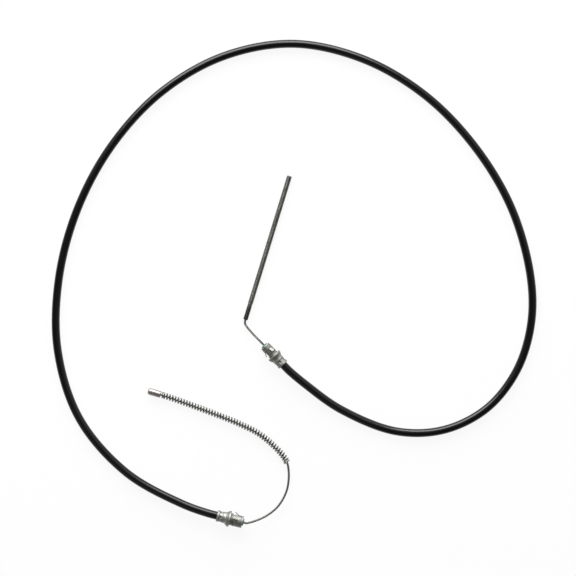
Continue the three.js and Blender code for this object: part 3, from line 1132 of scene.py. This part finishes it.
@dataclass
class EndFitting:
    """One end fitting: crimped ferrule, snap-in clip and nylon guide bush on one axis."""

    layout: CableLayout
    prefix: str
    place: Place
    flange_diameter: float
    nose_diameter: float
    prong_reach: float
    prong_turn: float
    bore: float = 0.0048
    lip: float = 0.0063
    neck: float = 0.0057
    body: float = 0.0061
    lip_length: float = 0.0024
    crimp_end: float = 0.0065
    body_end: float = 0.0095
    flange_face: float = 0.015
    pilot_end: float = 0.0172
    clip_start: float = 0.0175
    clip_ring_start: float = 0.0232
    clip_end: float = 0.027
    rim_start: float = 0.0273
    clip_thickness: float = 0.0006
    prong_stand_off: float = 0.0038
    prong_width: float = 40.0
    tab_width: float = 44.0
    prong_count: int = 3
    dent_count: int = 6
    dent_radius: float = 0.0016
    dent_depth: float = 0.00045
    liner_bore: float = 0.0025
    bush_inner: float = 0.0016
    bush_outer: float = 0.0032
    bush_head: float = 0.0038
    bush_head_length: float = 0.001
    ferrule_sides: int = 144
    clip_columns: int = 180
    clip_rows: int = 20
    leaf_columns: int = 16
    bush_sides: int = 48

    def ferrule(self) -> Skin:
        """Build the ferrule's skin: lip, dented crimp, body, cone, flange and nose.

        Returns:
            The skin, in the fitting's own frame.
        """
        layout = self.layout
        pilot = self.nose_diameter / 2
        core = pilot - self.clip_thickness - layout.fit_gap
        flange = self.flange_diameter / 2
        pocket = self.bush_outer + layout.fit_gap
        shoulder, ring_step = 0.0003, 0.00016
        corners = [
            (self.bore, 0, 0.0003),
            (self.lip, 0, 0.0006),
            (self.lip, self.lip_length, 0.0005),
            (self.neck, self.lip_length + shoulder, 0.0002),
            (self.neck, self.crimp_end - shoulder, 0.0003),
            (self.body, self.crimp_end, 0.0004),
            (self.body, self.body_end, 0.0006),
            (flange, layout.flange_back, 0.0005),
            (flange, self.flange_face, 0.0004),
            (pilot, self.flange_face, 0.0002),
            (pilot, self.pilot_end, 0.0002),
            (core, self.pilot_end, 0),
            (core, self.rim_start, 0),
            (pilot, self.rim_start, 0.0001),
            (pilot, layout.fitting_length, 0.0007),
            (pocket, layout.fitting_length, 0.0002),
            (pocket, layout.pocket_bottom, 0),
            (self.liner_bore, layout.pocket_bottom, 0),
            (self.liner_bore, layout.flange_back, 0),
            (self.bore, layout.flange_back, 0),
        ]
        profile = divided(rounded(corners, closed=True), 0.0, self.body_end, ring_step)
        skin = turned(profile, self.ferrule_sides, looped=True)
        self._dent(skin)
        self._paint_corner_shade(skin)
        return skin

    def _dent(self, skin: Skin) -> None:
        """Press the staking dents into the crimp and paint shade into them.

        Args:
            skin: The ferrule's skin, which is changed.
        """
        steepness = 2
        x, y, z = np.moveaxis(skin.rings, 2, 0)
        radius = np.hypot(x, y)
        outside = radius > (self.neck + self.bore) / 2
        spacing = 2 * math.pi / self.dent_count
        off = (np.arctan2(y, x) + spacing / 2) % spacing - spacing / 2
        middle = (self.lip_length + self.crimp_end) / 2
        away = np.hypot(off * self.neck, z - middle) / self.dent_radius
        depth = self.dent_depth * smooth_step((1 - away) * steepness) * outside
        skin.rings[..., :2] *= (1 - depth / radius)[..., None]
        # Painted shade: each dent darkens with its depth.
        skin.shade_and_dirt_mask = np.clip(skin.shade_and_dirt_mask + depth / self.dent_depth, 0, 1)

    def _paint_corner_shade(self, skin: Skin) -> None:
        """Paint shade behind the lip, at the flange's corners and under the clip.

        Args:
            skin: The ferrule's skin, which is changed.
        """
        reach, spread, darkest_shade = 0.0007, 1.3, 0.9
        radius = np.hypot(skin.rings[..., 0], skin.rings[..., 1])
        z = skin.rings[..., 2]
        pilot = self.nose_diameter / 2
        # Painted shade: a dark line round each inside corner.
        for corner_radius, corner_z in (
            (self.neck, self.lip_length),
            (self.neck, self.crimp_end),
            (self.flange_diameter / 2, self.layout.flange_back - reach / 2),
            (pilot, self.flange_face),
            (pilot, self.clip_start),
        ):
            away = np.hypot(radius - corner_radius, z - corner_z) / reach
            skin.shade_and_dirt_mask = np.maximum(skin.shade_and_dirt_mask, darkest_shade * smooth_step(spread - away))
        beneath = radius < pilot - self.layout.fit_gap
        shaded_under_clip = beneath & (z >= self.pilot_end) & (z <= self.rim_start)
        # Painted shade: the pilot under the clip is dark all over.
        skin.shade_and_dirt_mask = np.maximum(skin.shade_and_dirt_mask, shaded_under_clip)

    def clip(self) -> list[Skin]:
        """Build the clip's sheet: a ring with three splayed prongs and three flat tabs.

        Returns:
            Its skins: the ring, then each prong and tab, rooted inside the ring.
        """
        pilot = self.nose_diameter / 2
        inner = pilot - self.clip_thickness
        tip = self.flange_face + self.prong_stand_off
        ring = [
            (inner, self.clip_ring_start, 0.0001),
            (pilot, self.clip_ring_start, 0.0001),
            (pilot, self.clip_end, 0.0002),
            (inner, self.clip_end, 0.0001),
        ]
        skins = [turned(rounded(ring, closed=True), self.clip_columns, looped=True)]
        for i in range(self.prong_count):
            turn = self.prong_turn + 360 * i / self.prong_count
            between = turn + 180 / self.prong_count
            skins.append(self._leaf(turn, self.prong_width, tip, self.prong_reach))
            skins.append(self._leaf(between, self.tab_width, self.clip_start, pilot))
        return skins

    def _leaf(self, turn: float, width: float, tip: float, reach: float) -> Skin:
        """Build one leaf of the clip, from its tip to its root in the ring.

        Args:
            turn: The direction of its middle, in degrees from straight up.
            width: Its width in degrees.
            tip: Where it ends, as a distance from the mouth.
            reach: Its outside radius at the tip.

        Returns:
            Its skin, each ring a bent rectangle round the sheet's section.
        """
        narrowing, narrowed_part = 0.12, 1 / 4
        pilot = self.nose_diameter / 2
        root = self.clip_ring_start + self.clip_thickness
        edge = self.clip_thickness / 4
        shares = np.linspace(0, 1, self.clip_rows)
        stations = tip + (root - tip) * shares
        bend = np.clip((stations - tip) / (self.clip_ring_start - tip), 0, 1)
        outer = pilot + (reach - pilot) * (1 - bend)
        outer -= edge * smooth_step(1 - (stations - tip) / (2 * edge))
        half = math.radians(width / 2) * (1 - narrowing * smooth_step(1 - shares / narrowed_part))
        angles = math.radians(turn) + half[:, None] * np.linspace(-1, 1, self.leaf_columns)
        angles = np.concatenate([angles, angles[:, ::-1]], axis=1)
        faces = np.stack([outer, outer - self.clip_thickness], axis=1)
        radii = np.repeat(faces, self.leaf_columns, axis=1)
        heights = np.broadcast_to(stations[:, None], radii.shape)
        points = np.stack([radii * np.cos(angles), radii * np.sin(angles), heights], axis=2)
        return Skin(points, points.copy(), np.zeros(points.shape[:2]))

    def bush(self) -> Skin:
        """Build the bush's skin: a sleeve in the nose with a small head outside it.

        Returns:
            The skin, in the fitting's own frame.
        """
        start = self.layout.pocket_bottom + self.layout.fit_gap
        head_start = self.layout.fitting_length + self.layout.fit_gap
        head_end = head_start + self.bush_head_length
        corners = [
            (self.bush_inner, start, 0.0001),
            (self.bush_outer, start, 0.0002),
            (self.bush_outer, head_start, 0.0001),
            (self.bush_head, head_start, 0.0002),
            (self.bush_head, head_end, 0.0005),
            (self.bush_inner, head_end, 0.0004),
        ]
        return turned(rounded(corners, closed=True), self.bush_sides, looped=True)

    def build(self) -> dict[str, bpy.types.Object]:
        """Build the fitting's three pieces where they lie.

        Returns:
            The pieces by node name.
        """
        parts = {
            "ferrule": [self.ferrule()],
            "snap_clip": self.clip(),
            "guide_bush": [self.bush()],
        }
        made = {}
        for part, skins in parts.items():
            for skin in skins:
                skin.rings = self.place.settle(skin.rings)
            name = f"{self.prefix}_crimped_{part}"
            made[f"{self.prefix}_{part}"] = make_piece(name, skins, sharp_angle=35)
        return made

    def dress(self, pieces: dict[str, bpy.types.Object], effects: SurfaceEffects) -> None:
        """Give the fitting's pieces their finishes.

        Args:
            pieces: The pieces by node name.
            effects: The shared shader groups.
        """
        ZINC_FERRULE.dress(pieces[f"{self.prefix}_ferrule"], effects)
        SPRING_CLIP.dress(pieces[f"{self.prefix}_snap_clip"], effects)
        GREEN_NYLON.dress(pieces[f"{self.prefix}_guide_bush"], effects)


@dataclass
class AdjustingRod:
    """The adjusting rod: a rolled thread on a straight rod, swaged onto the rope."""

    layout: CableLayout
    length: float = 0.1655
    crest: float = 0.00295
    root: float = 0.00245
    pitch: float = 0.00127
    thread_start: float = 0.0185
    swage: float = 0.00255
    swage_length: float = 0.015
    swage_round: float = 0.0011
    socket: float = 0.0015
    socket_depth: float = 0.0143
    rings_per_turn: int = 10
    sides: int = 32

    def build(self) -> bpy.types.Object:
        """Build the rod where it lies.

        Returns:
            The piece, in the scene.
        """
        bevel = 0.0006
        thread_run_in = self.thread_start - self.pitch
        plain = [
            (self.socket, self.socket_depth, 0),
            (self.socket, 0.0001, 0.0001),
            (self.swage, 0.0, self.swage_round),
            (self.swage, self.swage_length, 0.0003),
            (self.root, self.swage_length + 0.0002, 0.0001),
            (self.root, thread_run_in, 0),
        ]
        count = round((self.length - self.thread_start) / self.pitch * self.rings_per_turn)
        stations = np.linspace(thread_run_in, self.length - bevel, count)
        threaded = np.stack([np.full(count, self.root), stations], axis=1)
        tip = [(self.root, self.length - bevel / 2), (self.root - bevel / 2, self.length)]
        profile = np.concatenate([rounded(plain, closed=False), threaded[1:], tip])
        skin = turned(profile, self.sides, looped=False)
        self._roll_thread(skin)
        skin.rings = self.layout.rod.settle(skin.rings)
        return make_piece("threaded_adjusting_rod", [skin], sharp_angle=50)

    def _roll_thread(self, skin: Skin) -> None:
        """Raise the thread's crests, paint shade and dirt into its roots and darken the swage.

        Args:
            skin: The rod's skin, which is changed.
        """
        crest_width, flank_slope = 1.25, 1.5
        root_shade_and_dirt, swage_darkening, darkening_fade = 0.9, 0.7, 0.001
        x, y, z = np.moveaxis(skin.rings, 2, 0)
        turns = z / self.pitch - np.arctan2(y, x) / (2 * math.pi)
        height = smooth_step(crest_width - np.abs((turns % 1.0) * 2 - 1) * flank_slope)
        run_in = smooth_step((z - self.thread_start + self.pitch) / (2 * self.pitch))
        run_out = smooth_step((self.length - z) / self.pitch)
        rise = height * run_in * run_out * (self.crest - self.root)
        skin.rings[..., :2] *= (1 + rise / np.hypot(x, y))[..., None]
        swaged = smooth_step((self.swage_length - z) / darkening_fade + 1)
        # Painted shade and dirt in the thread's roots; the swage is darker all over.
        skin.shade_and_dirt_mask = np.maximum((1 - height) * run_in * root_shade_and_dirt, swage_darkening * swaged)


@dataclass
class ReturnSpring:
    """The return spring: a compression spring of fifty coils threaded on the rope."""

    layout: CableLayout
    wire_radius: float = 0.0008
    length: float = 0.162
    open_coils: int = 47
    closed_coils: float = 1.5
    steps_per_turn: int = 36
    sides: int = 12

    def advance(self, turns: np.ndarray) -> np.ndarray:
        """Find how far along the rope the wire has come.

        Args:
            turns: Turns of the wire since its start.

        Returns:
            The distance from its start, for each.
        """
        closed_pitch = 2 * self.wire_radius + self.layout.fit_gap
        along = self.length - 2 * self.wire_radius
        open_pitch = (along - 2 * self.closed_coils * closed_pitch) / self.open_coils
        opened = np.clip(turns - self.closed_coils, 0, self.open_coils)
        return opened * open_pitch + (turns - opened) * closed_pitch

    def build(self) -> bpy.types.Object:
        """Build the spring where it lies, a round wire wound round the rope's route.

        Returns:
            The piece, in the scene.
        """
        layout = self.layout
        turns_in_all = self.open_coils + 2 * self.closed_coils
        count = int(turns_in_all * self.steps_per_turn) + 1
        turns = np.linspace(0, turns_in_all, count)
        end = layout.route.length - layout.wire_in_stop - layout.fit_gap - self.wire_radius
        start = end - self.length + 2 * self.wire_radius
        arcs = start + self.advance(turns)
        _, across, over = layout.route.frames(arcs)
        angles = 2 * math.pi * turns[:, None]
        outward = over * np.cos(angles) + across * np.sin(angles)
        coil_radius = layout.spring_radius - self.wire_radius
        middle = layout.route.points(arcs) + coil_radius * outward
        side = unit(np.cross(unit(np.gradient(middle, axis=0)), outward))
        ring = circle(self.wire_radius, self.sides)
        off_middle = ring[None, :, :1] * outward[:, None] + ring[None, :, 1:] * side[:, None]
        rings = middle[:, None] + off_middle
        steps = np.linalg.norm(np.diff(middle, axis=0, prepend=middle[:1]), axis=1)
        lay = np.concatenate(
            [
                np.broadcast_to(ring, (count, *ring.shape)),
                np.broadcast_to(np.cumsum(steps)[:, None, None], (count, self.sides, 1)),
            ],
            axis=2,
        )
        # Painted shade: the side of the wire that faces the rope is darkened.
        inside = np.clip(-ring[:, 0] / self.wire_radius, 0, 1)
        skin = Skin(rings, lay, np.broadcast_to(inside, rings.shape[:2]))
        return make_piece("wound_return_spring", [skin])


@dataclass
class EndStop:
    """The end stop: a bright turned cylinder on the rope's end, round at its outer end."""

    layout: CableLayout
    radius: float = 0.00365
    length: float = 0.0145
    outer_round: float = 0.0025
    round_steps: int = 8
    socket: float = 0.0015
    socket_depth: float = 0.0123
    sides: int = 96

    def build(self) -> bpy.types.Object:
        """Build the stop where it lies.

        Returns:
            The piece, in the scene.
        """
        bends = np.linspace(0, math.pi / 2, self.round_steps)
        radii = self.radius - self.outer_round * (1 - np.cos(bends))
        stations = self.length - self.outer_round * (1 - np.sin(bends))
        cap_radius = self.radius / 6
        corners = [
            (self.socket, self.socket_depth, 0),
            (self.socket, 0, 0.0002),
            (self.radius, 0, 0.0006),
            *((radius, station, 0) for radius, station in zip(radii, stations)),
            (cap_radius, self.length, 0),
        ]
        skin = turned(rounded(corners, closed=False), self.sides, looped=False)
        skin.rings = self.layout.stop.settle(skin.rings)
        return make_piece("bright_end_stop", [skin], sharp_angle=35)


# The picture


@dataclass(frozen=True)
class Lamp:
    """A soft lamp that faces the middle of the table: its place, width and height, and power."""

    name: str
    place: tuple[float, float, float]
    size: tuple[float, float]
    watts: float

    def hang(self) -> None:
        """Hang the lamp in its place."""
        data = bpy.data.lights.new(self.name, "AREA")
        data.shape = "RECTANGLE"
        data.size, data.size_y = self.size
        data.energy = self.watts
        made = bpy.data.objects.new(self.name, data)
        made.location = self.place
        made.rotation_mode = "QUATERNION"
        made.rotation_quaternion = made.location.to_track_quat("Z", "Y")
        bpy.context.collection.objects.link(made)


@dataclass
class Studio:
    """The white table, the soft lamps, the grey room and the camera straight above."""

    picture_middle: tuple[float, float] = (-0.006875, -0.00484)
    picture_width: float = 0.6336
    picture_height: float = 0.0045
    lens: float = 135.0
    sensor: float = 36.0
    floor_size: float = 24.0
    floor_drop: float = 0.0003
    floor_paint: float = 0.95
    floor_white: float = 0.92
    bright_side: tuple[float, float, float] = (0.25, 0.97, 0.0)
    bright_side_from: float = -0.05
    bright_side_full: float = 0.85
    room_dark: float = 0.13
    room_bright: float = 0.9
    lamps: tuple[Lamp, ...] = (
        Lamp("top_softbox", place=(-0.35, 1.85, 1.08), size=(2.4, 1.6), watts=88.0),
        Lamp("lower_left_fill", place=(-1.15, -1.45, 1.3), size=(1.8, 1.6), watts=2.6),
    )

    def camera(self) -> None:
        """Put the camera straight above the cable, far off behind a long lens."""
        data = bpy.data.cameras.new("overhead_camera")
        data.lens = self.lens
        data.sensor_width = self.sensor
        made = bpy.data.objects.new("overhead_camera", data)
        distance = self.picture_width * self.lens / self.sensor
        made.location = (*self.picture_middle, self.picture_height + distance)
        bpy.context.collection.objects.link(made)
        bpy.context.scene.camera = made

    def table(self) -> None:
        """Lay the white table that the cable rests on."""
        half = self.floor_size / 2
        mesh = bpy.data.meshes.new("white_table")
        corners = [(-half, -half), (half, -half), (half, half), (-half, half)]
        mesh.from_pydata([(x, y, -self.floor_drop) for x, y in corners], [], [(0, 1, 2, 3)])
        made = bpy.data.objects.new("white_table", mesh)
        bpy.context.collection.objects.link(made)
        made.data.materials.append(self._table_material())

    def _table_material(self) -> bpy.types.Material:
        """Build the table's white, which the camera and reflections see nearly evenly lit.

        Returns:
            The material.
        """
        made = bpy.data.materials.new("white_table")
        made.use_nodes = True
        bench = Bench(made.node_tree)
        bench.tree.nodes.clear()
        paint = bench.node("ShaderNodeBsdfDiffuse", {"Color": (*[self.floor_paint] * 3, 1.0)})
        glow = bench.node("ShaderNodeEmission", {"Color": (1.0, 1.0, 1.0, 1.0), "Strength": 1.0})
        rays = bench.node("ShaderNodeLightPath").outputs
        seen = bench.reckon("MAXIMUM", rays["Is Camera Ray"], rays["Is Glossy Ray"])
        seen = bench.reckon("MAXIMUM", seen, rays["Is Transmission Ray"])
        share = bench.reckon("MULTIPLY", seen, self.floor_white)
        mix = bench.node(
            "ShaderNodeMixShader",
            {0: share, 1: paint.outputs["BSDF"], 2: glow.outputs["Emission"]},
        )
        bench.node("ShaderNodeOutputMaterial", {"Surface": mix.outputs["Shader"]})
        return made

    def sky(self) -> None:
        """Fill the room with soft grey light, brighter towards the top of the picture."""
        world = bpy.data.worlds.new("studio_room")
        bpy.context.scene.world = world
        world.use_nodes = True
        bench = Bench(world.node_tree)
        where = bench.node("ShaderNodeTexCoord")
        facing = bench.node(
            "ShaderNodeVectorMath",
            {0: where.outputs["Generated"], 1: self.bright_side},
            operation="DOT_PRODUCT",
        )
        level = bench.node(
            "ShaderNodeMapRange",
            {
                "Value": facing.outputs["Value"],
                "From Min": self.bright_side_from,
                "From Max": self.bright_side_full,
                "To Min": self.room_dark,
                "To Max": self.room_bright,
            },
        )
        glow = {"Strength": level.outputs["Result"], "Color": (1.0, 1.0, 1.0, 1.0)}
        bench.feed(world.node_tree.nodes["Background"], glow)

    def build(self) -> None:
        """Set up everything but the camera."""
        self.table()
        self.sky()
        for lamp in self.lamps:
            lamp.hang()
        bpy.context.scene.view_settings.view_transform = "Standard"


def stand_for(pieces: dict[str, bpy.types.Object]) -> None:
    """Let each piece ride on the cable's body and stand for its node.

    Args:
        pieces: The pieces by node name.
    """
    for node, piece in pieces.items():
        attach(piece, BODY)
        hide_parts(node)
        LOG.info("%s stands for %s, %d faces", piece.name, node, len(piece.data.polygons))


def main() -> None:
    """Build the cable and its studio."""
    logging.basicConfig(level=logging.INFO, format="%(name)s: %(message)s")
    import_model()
    studio = Studio()
    studio.camera()

    layout = CableLayout()
    conduit = Conduit(layout)
    rope = StrandedRope(layout)
    pieces = conduit.build()
    pieces["wire_rope"] = rope.build()
    LOG.info("the rope is %.4f m long", layout.route.length)

    effects = SurfaceEffects()
    conduit.dress(pieces, effects)
    GALVANISED_ROPE.dress(pieces["wire_rope"], effects)

    fittings = [
        EndFitting(
            layout,
            prefix="rod_side",
            place=layout.rod_side,
            flange_diameter=0.016,
            nose_diameter=0.0112,
            prong_reach=0.0077,
            prong_turn=35.0,
        ),
        EndFitting(
            layout,
            prefix="spring_side",
            place=layout.spring_side,
            flange_diameter=0.0176,
            nose_diameter=0.0132,
            prong_reach=0.0092,
            prong_turn=22.0,
        ),
    ]
    for fitting in fittings:
        built = fitting.build()
        fitting.dress(built, effects)
        pieces |= built

    pieces["adjusting_rod"] = AdjustingRod(layout).build()
    ROLLED_ROD.dress(pieces["adjusting_rod"], effects)
    pieces["return_spring"] = ReturnSpring(layout).build()
    PLATED_SPRING.dress(pieces["return_spring"], effects)
    pieces["end_stop"] = EndStop(layout).build()
    BRIGHT_STOP.dress(pieces["end_stop"], effects)
    stand_for(pieces)

    on_conduit = ("rod_side", "spring_side", "conduit_armour", "conduit_liner")
    conduit.declare(
        pieces["conduit_jacket"],
        [piece for node, piece in pieces.items() if node.startswith(on_conduit)],
    )
    rope.declare(pieces["wire_rope"], [pieces["return_spring"], pieces["end_stop"]])

    studio.build()


if __name__ == "__main__":
    main()
